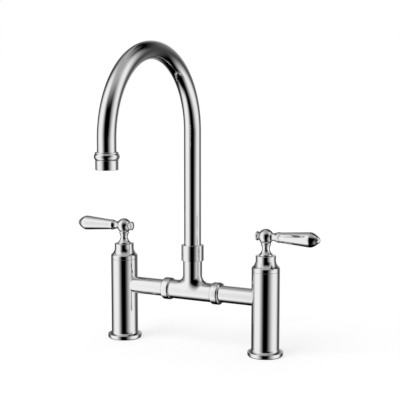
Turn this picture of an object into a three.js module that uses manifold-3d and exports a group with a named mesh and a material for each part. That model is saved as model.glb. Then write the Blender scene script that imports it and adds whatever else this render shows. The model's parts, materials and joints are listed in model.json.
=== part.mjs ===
// A bridge kitchen faucet: two pillars with quarter-turn lever valves, joined by a bridge whose
// tee carries a swivelling gooseneck spout. Millimetres, +Z up, spout towards -Y. The origin is
// midway between the pillars, on top of the sink deck.

import * as THREE from 'three';
import { mergeVertices } from 'three/addons/utils/BufferGeometryUtils.js';
import { ParametricGeometry } from 'three/addons/geometries/ParametricGeometry.js';
import Module from 'manifold-3d';

const wasm = await Module();
wasm.setup();

// ---- Driving dimensions ---------------------------------------------------------------------

// Clearances
const FIT_GAP = 0.3; // between pieces that nest, screw together or seat
const SEAL_GAP = 0.15; // round an O-ring in its groove
const SEAM_GAP = 0.1; // between the flange and the shoulder that presses it down

// Layout
const CENTRES = 203.2; // between the pillars' axes
const BRIDGE_HEIGHT = 71.8; // from the deck to the bridge's axis

// Pillars
const PILLAR_RADIUS = 17.35;
const PILLAR_WALL = 3.85;
const PILLAR_HEIGHT = 105.5;
const PILLAR_CHAMFER = 0.4;
const FOOT_WALL = 2; // wall of the turned-down foot inside the flange

// Base flanges and their gaskets
const FLANGE_RADIUS = 22.1;
const FLANGE_HEIGHT = 10.5;
const FLANGE_RIM = 5.6; // height of the rim under the flare
const FLANGE_EDGE = 1.8; // rounding of the rim's lower edge
const FLARE_REACH = 4.05; // how far the hollow flare stands out from the pillar
const FLARE_RISE = 4.2;
const GASKET_WIDTH = 2;
const GASKET_THICKNESS = 1.4;

// Water inlet inside a pillar
const INLET_RADIUS = 7;
const INLET_BORE = 5.5;
const NIPPLE_START = 30; // from the deck up to the supply nipple's end
const PARTITION_HEIGHT = 46; // from the deck to the disc that closes the pillar's bore
const PARTITION_THICKNESS = 6;
const CUP_WALL = 1.7;
const CUP_FLOOR = 2;
const CUP_DEPTH = 4.2;
const O_RING_SECTION = 1.6; // thickness of every O-ring

// Ceramic cartridge
const CARTRIDGE_RADIUS = 9.2;
const CARTRIDGE_WALL = 1.6;
const CARTRIDGE_TOP = 14.5; // above the pillar's top
const CARTRIDGE_THREAD = 8; // length screwed into the pillar
const CARTRIDGE_SET = 1.5; // how far the thread lies below the pillar's top
const CARTRIDGE_SLEEVE = 12.4; // length below the thread
const WINDOW_WIDTH = 8;
const CERAMIC_THICKNESS = 3;
const CERAMIC_SECTOR = 0.42 * Math.PI; // angle of each opening in the discs
const CERAMIC_HUB = 1.8; // solid middle between the openings
const SEAL_THICKNESS = 2.7;
const SEAL_WIDTH = 2.7; // of the cartridge's seal

// Spindle
const SPINDLE_RADIUS = 4;
const SPINDLE_HEAD = 3; // thickness of the head that turns the moving disc
const SPINDLE_SPLINE = 5.6; // length of the splined stretch inside the hub
const PILOT_RADIUS = 2.6; // thin end that reaches the ball
const PILOT_STOP = 1.9; // from the pilot's end up to the lever's stud
const TONGUE_WIDTH = 2.4;
const TONGUE_DEPTH = 1.4;

// Bonnet
const BONNET_HEIGHT = 19.6;
const BONNET_RING = 4.4; // height of its cylindrical ring
const BELL_RADIUS = 12.4; // at the bell's waist
const BELL_LIP = 0.25; // how far the bell flares at its top
const BELL_SHOULDER = 0.9; // height of the rounding between ring and cove
const BELL_COVE = 9.9; // height of rounding and cove together
const BELL_BRIM = 0.6; // rounding of its top edge
const COVE_SAG = 1.1;
const BONNET_TOP = 2.6; // thickness of its top
const BONNET_SKIRT = 6.2; // depth of the wide room inside its ring

// Handle hub
const HUB_FOOT_RADIUS = 6.8;
const HUB_BEAD_HEIGHT = 3.1; // of the bead round its foot
const HUB_BEAD_BULGE = 1;
const HUB_FOOT_HEIGHT = 7.3; // of the bead and the hollow above it
const HUB_FOOT_SAG = 0.35;
const HUB_WAIST_RADIUS = 4.75;
const HUB_NECK_HEIGHT = 15; // from the foot to the ball's start
const HUB_NECK_SAG = 0.45;
const HUB_RING_RADIUS = 6.15;
const HUB_RING_HEIGHT = 2.8;
const HUB_RING_BULGE = 0.4;
const BALL_RADIUS = 9.4;
const BALL_LIFT = 8.2; // from the ball's start to the lever's axis
const BALL_SAG = 0.75; // bow of its lower half
const GRUB_RADIUS = 1.8;
const GRUB_DROP = 6.9; // below the lever's axis

// Lever, measured outwards from the pillar's axis
const LEVER_SEAT = 8; // flats on the ball
const STUD_RADIUS = 2.5;
const LEVER_NECK_RADIUS = 4;
const LEVER_COLLAR_RADIUS = 6.65;
const LEVER_COLLAR = 17; // to the middle of the collar
const LEVER_NECK_SAG = 0.45;
const GRIP_START = 19.3;
const GRIP_START_RADIUS = 6.15;
const GRIP_RADIUS = 9.35;
const GRIP_SAG = 0.12; // bow of its long taper
const NOSE_SAG = 0.95;
const GRIP_BELLY = 57.6; // to the grip's fattest place
const GRIP_END = 66.3;
const GRIP_END_RADIUS = 5.4;
const TANG_RADIUS = 3.2;
const TANG_END = 46;
const FINIAL_RADIUS = 4.9;
const FINIAL_LENGTH = 4.2;
const FINIAL_SAG = 0.8;
const FINIAL_SHANK = 12;
const BUTTON_RADIUS = 5.7;
const BUTTON_THICKNESS = 2.6;
const BUTTON_NECK_RADIUS = 3.8;
const BUTTON_WALL = 1.05; // between its thread and its face
const BUTTON_FACE = 13.3;

// Bridge
const BRIDGE_RADIUS = 10.7;
const BRIDGE_WALL = 2.8;
const SPIGOT_SHOULDER = 1.1; // step from the pipe down to its spigot in the pillar
const UNION_RADIUS = 14.1;
const UNION_SHOULDER = 2.4; // rounding of the nut's ends
const UNION_SAG = 0.32; // how round those shoulders are
const UNION_ENGAGEMENT = 3.5; // length of the tee inside the nut
const UNION_LIP = 3.4;
const UNION_SEAL = 1.5;
const PIPE_COLLAR = 1.9;

// Tee
const TEE_RADIUS = 12.1;
const TEE_BORE = 8;
const TEE_HALF_LENGTH = 33;
const TEE_FILLET = 9.6;
const NECK_HEIGHT = 38.7; // from the bridge's axis to the collar nut
const NECK_THREAD = 8.5; // length of the neck inside the nut
const NECK_SOCKET = 31; // depth of the bore that the spout turns in

// Spout collar nut and bush
const COLLAR_RADIUS = 14.15;
const COLLAR_HEIGHT = 20.6;
const COLLAR_FOOT = 0.8; // height of the lower chamfer
const COLLAR_CHAMFER = 0.5;
const COLLAR_LIP = 5.9;
const BUSH_FLANGE = 2.5;
const BUSH_SPIGOT = 14; // length inside the tube
const BUSH_WALL = 2.8;
const O_RING_INSET = 4; // from each end of the bush's lower spigot

// Gooseneck
const SPOUT_RADIUS = 10.7;
const SPOUT_WALL = 1.3;
const ARCH_RADIUS = 98.45;
const OUTLET_HEIGHT = 241.8; // from the deck to the outlet's face
const OUTLET_DROP = 33; // from the arch's centre down to the outlet's face

// Spout end
const AERATOR_RADIUS = 12.7;
const AERATOR_HEIGHT = 10.5;
const AERATOR_EDGE = 1.4; // rounding of its lower edge
const AERATOR_WALL = 1.7;
const AERATOR_SPIGOT = 5.5;
const AERATOR_ROOF = 1.8;
const AERATOR_RECESS = 0.6; // from the outlet up to the insert
const AERATOR_WASHER = 1.5;
const AERATOR_WASHER_WIDTH = 2.7;
const AERATOR_HOLE = 0.85;
const AERATOR_RINGS = 2; // rings of holes round the middle one
const BEAD_RADIUS = 14.2;
const BEAD_HEIGHT = 7.1;
const BEAD_RING_RADIUS = 12.9;
const BEAD_RING_HEIGHT = 1.5;
const BEAD_LIP = 1.7;

// Faceting
const OUTER_SIDES = 24; // round pieces that show
const INNER_SIDES = 16; // round pieces inside
const SMALL_SIDES = 10; // spindles, studs and screws
const HOLE_SIDES = 6;
const ARC_STEPS = 3;
const GOOSENECK_STEPS = 32;
const BEYOND = 5; // how far a cutter runs past what it cuts

// ---- Sizes that follow ----------------------------------------------------------------------

const pillarX = CENTRES / 2;
const pillarBore = PILLAR_RADIUS - PILLAR_WALL;
const footRadius = pillarBore + FOOT_WALL;

const threadTop = PILLAR_HEIGHT - CARTRIDGE_SET;
const threadBottom = threadTop - CARTRIDGE_THREAD;
const sleeveBottom = threadBottom - CARTRIDGE_SLEEVE;
const sleeveBore = CARTRIDGE_RADIUS - CARTRIDGE_WALL;
const cupFloorTop = sleeveBottom - FIT_GAP;
const ceramicRadius = sleeveBore - FIT_GAP;
const fixedDiscBottom = cupFloorTop + SEAL_THICKNESS + 2 * FIT_GAP;
const movingDiscBottom = fixedDiscBottom + CERAMIC_THICKNESS + FIT_GAP;
const spindleBottom = movingDiscBottom + CERAMIC_THICKNESS + FIT_GAP;

const bonnetBottom = PILLAR_HEIGHT + FIT_GAP;
const bonnetTop = bonnetBottom + BONNET_HEIGHT;
const hubBottom = bonnetTop + FIT_GAP;
const ballStart = hubBottom + HUB_NECK_HEIGHT;
const leverHeight = ballStart + BALL_LIFT;
const pilotTop = leverHeight - STUD_RADIUS - PILOT_STOP;
const studEnd = BUTTON_FACE - BUTTON_WALL - FIT_GAP;
const spindleShaft = SPINDLE_RADIUS + FIT_GAP; // bore round the spindle

const bridgeBore = BRIDGE_RADIUS - BRIDGE_WALL;
const spigotRadius = BRIDGE_RADIUS - SPIGOT_SHOULDER;
const threadRadius = TEE_RADIUS + FIT_GAP; // bore of the union nuts and the collar nut
const unionStart = TEE_HALF_LENGTH - UNION_ENGAGEMENT;
const sealStart = TEE_HALF_LENGTH + FIT_GAP;
const pipeStart = sealStart + UNION_SEAL + FIT_GAP;
const unionLipStart = pipeStart + PIPE_COLLAR + FIT_GAP;
const unionEnd = unionLipStart + UNION_LIP;

const collarBottom = BRIDGE_HEIGHT + NECK_HEIGHT;
const collarTop = collarBottom + COLLAR_HEIGHT;
const neckTop = collarBottom + NECK_THREAD;
const socketBottom = neckTop - NECK_SOCKET;
const bushFlangeBottom = neckTop + FIT_GAP;
const bushFlangeTop = bushFlangeBottom + BUSH_FLANGE;
const tubeBottom = bushFlangeTop + FIT_GAP;
const lipBottom = collarTop - COLLAR_LIP;
const spoutBore = SPOUT_RADIUS - SPOUT_WALL;
const bushRadius = spoutBore - FIT_GAP;
const bushBore = bushRadius - BUSH_WALL;

const archHeight = OUTLET_HEIGHT + OUTLET_DROP;
const aeratorTop = OUTLET_HEIGHT + AERATOR_HEIGHT;
const beadBottom = aeratorTop + FIT_GAP;
const beadTop = beadBottom + BEAD_HEIGHT + BEAD_RING_HEIGHT;
const tubeEnd = beadBottom + BEAD_LIP + FIT_GAP;
const outletY = -2 * ARCH_RADIUS;
const aeratorBore = AERATOR_RADIUS - AERATOR_WALL;

// ---- Finishes -------------------------------------------------------------------------------

const CHROME = { color: 0xdfe1e3, roughness: 0.06, metalness: 1 };
const BRASS = { color: 0xb9954f, roughness: 0.35, metalness: 1 };
const STEEL = { color: 0xa9abad, roughness: 0.3, metalness: 1 };
const RUBBER = { color: 0x1c1c1d, roughness: 0.8, metalness: 0 };
const CERAMIC = { color: 0xf2f1ec, roughness: 0.25, metalness: 0 };
const PLASTIC = { color: 0xe4e4e0, roughness: 0.45, metalness: 0 };

// ---- Helpers --------------------------------------------------------------------------------

// A geometry as a solid: its shared corners are merged and its flattened triangles dropped.
function solid(geometry) {
  geometry.deleteAttribute('normal');
  geometry.deleteAttribute('uv');
  const merged = mergeVertices(geometry, 1e-5);
  const corners = merged.index.array;
  const kept = [];
  for (let i = 0; i < corners.length; i += 3) {
    const [a, b, c] = corners.subarray(i, i + 3);
    if (a !== b && b !== c && c !== a) kept.push(a, b, c);
  }
  return new wasm.Manifold(
    new wasm.Mesh({
      numProp: 3,
      vertProperties: Float32Array.from(merged.attributes.position.array),
      triVerts: Uint32Array.from(kept),
    }),
  );
}

function piece(name, body, finish) {
  const { vertProperties, triVerts } = body.getMesh();
  const geometry = new THREE.BufferGeometry();
  geometry.setAttribute('position', new THREE.BufferAttribute(vertProperties, 3));
  geometry.setIndex(new THREE.BufferAttribute(triVerts, 1));
  geometry.computeVertexNormals();
  const mesh = new THREE.Mesh(geometry, new THREE.MeshStandardMaterial({ ...finish }));
  mesh.name = name;
  return mesh;
}

// Points on a round arc between two [radius, height] points, both kept. A sag above zero bows it
// to the right of the way from one to the other, a sag below zero to the left.
function arc(from, to, sag, steps = ARC_STEPS) {
  const along = [to[0] - from[0], to[1] - from[1]];
  const half = Math.hypot(...along) / 2;
  const sweep = 2 * Math.atan(sag / half);
  const radius = half / Math.sin(sweep);
  const [ux, uy] = along.map((v) => v / (2 * half));
  return Array.from({ length: steps + 1 }, (_, i) => {
    const angle = sweep * ((2 * i) / steps - 1);
    const run = half + radius * Math.sin(angle);
    const bow = radius * (Math.cos(angle) - Math.cos(sweep));
    return [from[0] + ux * run + uy * bow, from[1] + uy * run - ux * bow];
  });
}

// Sag of a quarter turn between two points, for rounded edges.
function quarter(from, to) {
  return (Math.hypot(to[0] - from[0], to[1] - from[1]) / 2) * Math.tan(Math.PI / 8);
}

// A profile of [radius, height] points turned about +Z. It closes on itself, or starts and ends
// on the axis.
function turned(profile, sides = OUTER_SIDES) {
  const area = profile.reduce((sum, [radius, height], i) => {
    const [nextRadius, nextHeight] = profile[(i + 1) % profile.length];
    return sum + radius * nextHeight - nextRadius * height;
  }, 0);
  const upward = area > 0 ? profile : profile.toReversed();
  const isRing = profile.every(([radius]) => radius > 0);
  const outline = isRing ? [...upward, upward[0]] : upward;
  const points = outline.map(([radius, height]) => new THREE.Vector2(radius, height));
  return new THREE.LatheGeometry(points, sides).rotateX(Math.PI / 2);
}

function rod(radius, from, to, sides = INNER_SIDES) {
  return turned([[0, from], [radius, from], [radius, to], [0, to]], sides);
}

function washer(inner, outer, from, to, sides = INNER_SIDES) {
  return turned([[inner, from], [outer, from], [outer, to], [inner, to]], sides);
}

function alongX(geometry, height = 0) {
  return geometry.rotateY(Math.PI / 2).translate(0, 0, height);
}

function oRing(outer, height) {
  const half = O_RING_SECTION / 2;
  const ring = new THREE.TorusGeometry(outer - half, half, 6, INNER_SIDES);
  return solid(ring.translate(0, 0, height));
}

// Groove for an O-ring, as the two lower corners and the two upper ones on a rising outline.
function groove(radius, height) {
  const floor = radius - O_RING_SECTION;
  const half = O_RING_SECTION / 2 + SEAL_GAP;
  return [
    [radius, height - half],
    [floor, height - half],
    [floor, height + half],
    [radius, height + half],
  ];
}

// ---- Pillar ---------------------------------------------------------------------------------

function pillarBody() {
  const shell = solid(turned([
    [pillarBore, FIT_GAP],
    [footRadius, FIT_GAP],
    [footRadius, FLANGE_HEIGHT],
    [PILLAR_RADIUS, FLANGE_HEIGHT],
    [PILLAR_RADIUS, PILLAR_HEIGHT - PILLAR_CHAMFER],
    [PILLAR_RADIUS - PILLAR_CHAMFER, PILLAR_HEIGHT],
    [pillarBore, PILLAR_HEIGHT],
  ]));
  const reach = -PILLAR_RADIUS - BEYOND;
  const port = solid(alongX(rod(spigotRadius + FIT_GAP, reach, 0, OUTER_SIDES), BRIDGE_HEIGHT));
  return shell.subtract(port);
}

function baseFlange() {
  const bore = footRadius + FIT_GAP;
  const top = FLANGE_HEIGHT - SEAM_GAP;
  const rimTop = [FLANGE_RADIUS, FLANGE_RIM];
  const edgeTop = [FLANGE_RADIUS, FLANGE_EDGE];
  const edgeBottom = [FLANGE_RADIUS - FLANGE_EDGE, 0];
  const flareStart = [PILLAR_RADIUS + FLARE_REACH, FLANGE_RIM];
  const flareEnd = [PILLAR_RADIUS, FLANGE_RIM + FLARE_RISE];
  const gasketInner = bore + FIT_GAP + FOOT_WALL / 2;
  return solid(turned([
    [bore, 0],
    [gasketInner - FIT_GAP, 0],
    [gasketInner - FIT_GAP, GASKET_THICKNESS + FIT_GAP],
    [gasketInner + GASKET_WIDTH + FIT_GAP, GASKET_THICKNESS + FIT_GAP],
    [gasketInner + GASKET_WIDTH + FIT_GAP, 0],
    ...arc(edgeBottom, edgeTop, quarter(edgeBottom, edgeTop), 2),
    rimTop,
    ...arc(flareStart, flareEnd, -quarter(flareStart, flareEnd)),
    [PILLAR_RADIUS, top],
    [bore, top],
  ]));
}

function flangeGasket() {
  const inner = footRadius + 2 * FIT_GAP + FOOT_WALL / 2;
  return solid(washer(inner, inner + GASKET_WIDTH, 0, GASKET_THICKNESS));
}

// ---- Inlet and cartridge --------------------------------------------------------------------

const cupBore = CARTRIDGE_RADIUS + FIT_GAP;
const cupRadius = cupBore + CUP_WALL;
const partitionTop = PARTITION_HEIGHT + PARTITION_THICKNESS;
const partitionMiddle = PARTITION_HEIGHT + PARTITION_THICKNESS / 2;

function inletRiser() {
  const disc = pillarBore - FIT_GAP;
  const cupBottom = cupFloorTop - CUP_FLOOR;
  return solid(turned([
    [INLET_BORE, NIPPLE_START],
    [INLET_RADIUS, NIPPLE_START],
    [INLET_RADIUS, PARTITION_HEIGHT],
    [disc, PARTITION_HEIGHT],
    ...groove(disc, partitionMiddle),
    [disc, partitionTop],
    [INLET_RADIUS, partitionTop],
    [INLET_RADIUS, cupBottom],
    [cupRadius, cupBottom],
    [cupRadius, cupFloorTop + CUP_DEPTH],
    [cupBore, cupFloorTop + CUP_DEPTH],
    [cupBore, cupFloorTop],
    [INLET_BORE, cupFloorTop],
  ], INNER_SIDES));
}

function cartridgeSeal() {
  const bottom = cupFloorTop + FIT_GAP;
  return solid(washer(ceramicRadius - SEAL_WIDTH, ceramicRadius, bottom, bottom + SEAL_THICKNESS));
}

function cartridgeBody() {
  const housing = solid(turned([
    [sleeveBore, sleeveBottom],
    [CARTRIDGE_RADIUS, sleeveBottom],
    [CARTRIDGE_RADIUS, threadBottom],
    [pillarBore - FIT_GAP, threadBottom],
    [pillarBore - FIT_GAP, threadTop],
    [CARTRIDGE_RADIUS, threadTop],
    [CARTRIDGE_RADIUS, PILLAR_HEIGHT + CARTRIDGE_TOP],
    [spindleShaft, PILLAR_HEIGHT + CARTRIDGE_TOP],
    [spindleShaft, spindleBottom + SPINDLE_HEAD + FIT_GAP],
    [sleeveBore, spindleBottom + SPINDLE_HEAD + FIT_GAP],
  ], INNER_SIDES));
  const length = 2 * (CARTRIDGE_RADIUS + BEYOND);
  const window = new THREE.BoxGeometry(length, WINDOW_WIDTH, CERAMIC_THICKNESS)
    .translate(0, 0, movingDiscBottom + CERAMIC_THICKNESS / 2);
  return housing.subtract(solid(window));
}

// A ceramic disc with two openings, sectors opposite each other that reach out to sectorRadius.
function ceramicDisc(sectorRadius, middle, bottom) {
  const blank = solid(rod(ceramicRadius, bottom, bottom + CERAMIC_THICKNESS));
  const settings = { depth: 2 * CERAMIC_THICKNESS, bevelEnabled: false, curveSegments: ARC_STEPS };
  const cutters = [middle, middle + Math.PI].map((angle) => {
    const [start, end] = [angle - CERAMIC_SECTOR / 2, angle + CERAMIC_SECTOR / 2];
    const sector = new THREE.Shape();
    sector.absarc(0, 0, sectorRadius, start, end, false);
    sector.absarc(0, 0, CERAMIC_HUB, end, start, true);
    const cutter = new THREE.ExtrudeGeometry(sector, settings);
    return solid(cutter.translate(0, 0, bottom - CERAMIC_THICKNESS / 2));
  });
  return cutters.reduce((disc, cutter) => disc.subtract(cutter), blank);
}

function driveTongue(clearance) {
  const width = TONGUE_WIDTH + 2 * clearance;
  const depth = TONGUE_DEPTH + clearance;
  const length = 2 * (clearance > 0 ? ceramicRadius + BEYOND : ceramicRadius / 2);
  const top = spindleBottom + FIT_GAP;
  const tongue = new THREE.BoxGeometry(length, width, depth + FIT_GAP);
  return solid(tongue.translate(0, 0, top - (depth + FIT_GAP) / 2));
}

const fixedDisc = () => ceramicDisc(ceramicRadius - CARTRIDGE_WALL, 0, fixedDiscBottom);

function movingDisc() {
  const disc = ceramicDisc(ceramicRadius + BEYOND, Math.PI / 2, movingDiscBottom);
  return disc.subtract(driveTongue(FIT_GAP));
}

function spindle() {
  const headTop = spindleBottom + SPINDLE_HEAD;
  const splineTop = hubBottom + SPINDLE_SPLINE;
  const shaft = solid(turned([
    [0, spindleBottom],
    [ceramicRadius, spindleBottom],
    [ceramicRadius, headTop],
    [SPINDLE_RADIUS, headTop],
    [SPINDLE_RADIUS, splineTop],
    [PILOT_RADIUS, splineTop],
    [PILOT_RADIUS, pilotTop],
    [0, pilotTop],
  ], SMALL_SIDES));
  return shaft.add(driveTongue(0));
}

// ---- Bonnet and handle ----------------------------------------------------------------------

function bonnet() {
  const ringTop = bonnetBottom + BONNET_RING;
  const shoulder = [PILLAR_RADIUS - PILLAR_CHAMFER, ringTop + BELL_SHOULDER];
  const waist = [BELL_RADIUS, ringTop + BELL_COVE];
  const lip = [BELL_RADIUS + BELL_LIP, bonnetTop - BELL_BRIM];
  const brim = [lip[0] - BELL_BRIM, bonnetTop];
  const housing = CARTRIDGE_RADIUS + FIT_GAP;
  const skirtTop = bonnetBottom + BONNET_SKIRT;
  return solid(turned([
    [pillarBore, bonnetBottom],
    [PILLAR_RADIUS - PILLAR_CHAMFER, bonnetBottom],
    [PILLAR_RADIUS, bonnetBottom + PILLAR_CHAMFER],
    [PILLAR_RADIUS, ringTop],
    ...arc(shoulder, waist, -COVE_SAG, 4),
    lip,
    ...arc(lip, brim, quarter(lip, brim), 2).slice(1),
    [spindleShaft, bonnetTop],
    [spindleShaft, bonnetTop - BONNET_TOP],
    [housing, bonnetTop - BONNET_TOP],
    [housing, skirtTop],
    [pillarBore, skirtTop - (pillarBore - housing) / 2],
  ]));
}

function handleHub() {
  const beadTop = [HUB_FOOT_RADIUS, hubBottom + HUB_BEAD_HEIGHT];
  const waistStart = [HUB_WAIST_RADIUS, hubBottom + HUB_FOOT_HEIGHT];
  const ringEdge = HUB_RING_RADIUS - HUB_RING_BULGE;
  const ringStart = [ringEdge, ballStart - HUB_RING_HEIGHT];
  const ballLow = [ringEdge, ballStart];
  const ballSide = [BALL_RADIUS, leverHeight];
  const ballTop = [0, leverHeight + BALL_RADIUS];
  const body = solid(turned([
    [0, hubBottom],
    ...arc([HUB_FOOT_RADIUS, hubBottom], beadTop, HUB_BEAD_BULGE, 4),
    ...arc(beadTop, waistStart, -HUB_FOOT_SAG).slice(1),
    ...arc(waistStart, ringStart, -HUB_NECK_SAG).slice(1),
    ...arc(ringStart, ballLow, HUB_RING_BULGE, 2).slice(1),
    ...arc(ballLow, ballSide, BALL_SAG).slice(1),
    ...arc(ballSide, ballTop, quarter(ballSide, ballTop), 4).slice(1),
  ]));
  const splineTop = hubBottom + SPINDLE_SPLINE + FIT_GAP;
  const cutters = [
    rod(spindleShaft, hubBottom - BEYOND, splineTop, SMALL_SIDES),
    rod(PILOT_RADIUS + FIT_GAP, hubBottom, pilotTop + FIT_GAP, SMALL_SIDES),
    alongX(rod(STUD_RADIUS + FIT_GAP, -BALL_RADIUS, BALL_RADIUS, SMALL_SIDES), leverHeight),
    ...[-1, 1].map((side) => {
      const flat = rod(LEVER_NECK_RADIUS + FIT_GAP, LEVER_SEAT, BALL_RADIUS + BEYOND);
      return alongX(flat, 0).rotateZ(side > 0 ? 0 : Math.PI).translate(0, 0, leverHeight);
    }),
    rod(GRUB_RADIUS + FIT_GAP, 0, BALL_RADIUS + BEYOND, SMALL_SIDES)
      .rotateX(-Math.PI / 2).translate(0, 0, leverHeight - GRUB_DROP),
  ];
  return cutters.reduce((hub, cutter) => hub.subtract(solid(cutter)), body);
}

function grubScrew() {
  const start = PILOT_RADIUS + FIT_GAP;
  const socket = GRUB_RADIUS / 2;
  const screw = turned([
    [0, start],
    [GRUB_RADIUS, start],
    [GRUB_RADIUS, HUB_RING_RADIUS],
    [socket, HUB_RING_RADIUS],
    [socket, HUB_RING_RADIUS - socket],
    [0, HUB_RING_RADIUS - socket],
  ], SMALL_SIDES);
  return solid(screw.rotateX(-Math.PI / 2).translate(0, 0, leverHeight - GRUB_DROP));
}

function leverStem() {
  const seat = LEVER_SEAT + FIT_GAP;
  const collarEnd = GRIP_START - FIT_GAP;
  const neckEnd = [LEVER_NECK_RADIUS, seat + FIT_GAP];
  const collarStart = [LEVER_COLLAR_RADIUS - FIT_GAP, LEVER_COLLAR - 4 * FIT_GAP];
  return solid(alongX(turned([
    [0, -studEnd],
    [STUD_RADIUS, -studEnd],
    [STUD_RADIUS, seat],
    [LEVER_NECK_RADIUS, seat],
    ...arc(neckEnd, collarStart, -LEVER_NECK_SAG),
    [LEVER_COLLAR_RADIUS, LEVER_COLLAR],
    [LEVER_COLLAR_RADIUS - FIT_GAP, collarEnd],
    [TANG_RADIUS, collarEnd],
    [TANG_RADIUS, TANG_END],
    [0, TANG_END],
  ], OUTER_SIDES), leverHeight));
}

function leverGrip() {
  const bore = TANG_RADIUS + FIT_GAP;
  const belly = [GRIP_RADIUS, GRIP_BELLY];
  const nose = [GRIP_END_RADIUS, GRIP_END];
  return solid(alongX(turned([
    [bore, GRIP_START],
    [GRIP_START_RADIUS, GRIP_START],
    ...arc([GRIP_START_RADIUS, GRIP_START + 2 * FIT_GAP], belly, GRIP_SAG),
    ...arc(belly, nose, NOSE_SAG).slice(1),
    [bore, GRIP_END],
  ]), leverHeight));
}

function leverFinial() {
  const start = GRIP_END + FIT_GAP;
  const end = [0, GRIP_END + FINIAL_LENGTH + FIT_GAP];
  return solid(alongX(turned([
    [0, GRIP_END - FINIAL_SHANK],
    [TANG_RADIUS, GRIP_END - FINIAL_SHANK],
    [TANG_RADIUS, start],
    [FINIAL_RADIUS, start],
    ...arc([FINIAL_RADIUS, start + FIT_GAP], end, FINIAL_SAG),
  ], INNER_SIDES), leverHeight));
}

function backButton() {
  const bore = STUD_RADIUS + FIT_GAP;
  const rim = BUTTON_FACE - BUTTON_THICKNESS;
  const button = turned([
    [0, BUTTON_FACE - BUTTON_WALL],
    [bore, BUTTON_FACE - BUTTON_WALL],
    [bore, LEVER_SEAT + FIT_GAP],
    [BUTTON_NECK_RADIUS, LEVER_SEAT + FIT_GAP],
    [BUTTON_NECK_RADIUS, rim - FIT_GAP],
    [BUTTON_RADIUS - FIT_GAP, rim],
    [BUTTON_RADIUS, rim + FIT_GAP],
    [BUTTON_RADIUS, BUTTON_FACE - 2 * FIT_GAP],
    [BUTTON_RADIUS - 2 * FIT_GAP, BUTTON_FACE],
    [0, BUTTON_FACE],
  ], INNER_SIDES);
  return solid(alongX(button).rotateZ(Math.PI).translate(0, 0, leverHeight));
}

// ---- Bridge ---------------------------------------------------------------------------------

function bridgePipe() {
  const collarRadius = threadRadius - FIT_GAP;
  const pillar = (radius) => solid(
    rod(radius, 0, PILLAR_HEIGHT, OUTER_SIDES).translate(pillarX, 0, 0),
  );
  const pipe = solid(alongX(turned([
    [0, pipeStart],
    [collarRadius, pipeStart],
    [collarRadius, pipeStart + PIPE_COLLAR],
    [BRIDGE_RADIUS, pipeStart + PIPE_COLLAR],
    [BRIDGE_RADIUS, pillarX],
    [0, pillarX],
  ], OUTER_SIDES), BRIDGE_HEIGHT));
  const spigotStart = pillarX - PILLAR_RADIUS - BEYOND;
  const spigot = solid(alongX(rod(spigotRadius, spigotStart, pillarX, OUTER_SIDES), BRIDGE_HEIGHT));
  const waterway = solid(alongX(rod(bridgeBore, 0, pillarX + BEYOND), BRIDGE_HEIGHT));
  return pipe
    .subtract(pillar(PILLAR_RADIUS + FIT_GAP))
    .add(spigot.subtract(pillar(pillarBore)))
    .subtract(waterway);
}

function unionNut() {
  const low = [UNION_RADIUS - UNION_SHOULDER / 2, unionStart];
  const high = [UNION_RADIUS - UNION_SHOULDER, unionEnd];
  return solid(alongX(turned([
    [threadRadius, unionStart],
    ...arc(low, [UNION_RADIUS, unionStart + UNION_SHOULDER], UNION_SAG, 2),
    ...arc([UNION_RADIUS, unionEnd - UNION_SHOULDER], high, UNION_SAG, 2),
    [BRIDGE_RADIUS + FIT_GAP, unionEnd],
    [BRIDGE_RADIUS + FIT_GAP, unionLipStart],
    [threadRadius, unionLipStart],
  ]), BRIDGE_HEIGHT));
}

function unionSeal() {
  const ring = washer(TEE_BORE, threadRadius - FIT_GAP, sealStart, sealStart + UNION_SEAL);
  return solid(alongX(ring, BRIDGE_HEIGHT));
}

// The blend between the tee's run and its neck. Its outline in the plane of both axes has a
// concave arc on each side. Each outline point sweeps half an ellipse from the front of the
// crossing to its back, so the blend meets both cylinders smoothly.
function teeBlend() {
  const radius = TEE_RADIUS - SEAM_GAP / 2;
  const reach = radius + TEE_FILLET;
  const fillet = Array.from({ length: ARC_STEPS + 1 }, (_, i) => {
    const angle = (Math.PI / 2) * (i / ARC_STEPS);
    return [reach - TEE_FILLET * Math.sin(angle), reach - TEE_FILLET * Math.cos(angle)];
  });
  const rightSide = [[reach, 0], ...fillet];
  const leftSide = rightSide.map(([x, z]) => [-x, z]).toReversed();
  const outline = [...rightSide, ...leftSide];
  const surface = (u, v, target) => {
    const [x, z] = outline[Math.round(u * outline.length) % outline.length];
    const angle = Math.PI * v;
    target.set(Math.sin(angle) * x, radius * Math.cos(angle), Math.sin(angle) * z);
  };
  const blend = new ParametricGeometry(surface, outline.length, OUTER_SIDES / 2);
  return solid(blend.translate(0, 0, BRIDGE_HEIGHT));
}

function centerTee() {
  const half = TEE_HALF_LENGTH;
  const run = solid(alongX(rod(TEE_RADIUS, -half, half, OUTER_SIDES), BRIDGE_HEIGHT));
  const neck = solid(rod(TEE_RADIUS, BRIDGE_HEIGHT, neckTop, OUTER_SIDES));
  const cutters = [
    alongX(rod(TEE_BORE, -half - BEYOND, half + BEYOND), BRIDGE_HEIGHT),
    rod(TEE_BORE, BRIDGE_HEIGHT, socketBottom + BEYOND),
    rod(bushRadius + FIT_GAP, socketBottom, neckTop + BEYOND, OUTER_SIDES),
  ];
  const blank = run.add(neck).add(teeBlend());
  return cutters.reduce((tee, cutter) => tee.subtract(solid(cutter)), blank);
}

// ---- Spout joint ----------------------------------------------------------------------------

const bushBottom = socketBottom + FIT_GAP;
const lowerRingHeight = bushBottom + O_RING_INSET;
const upperRingHeight = bushFlangeBottom - O_RING_INSET;

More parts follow.
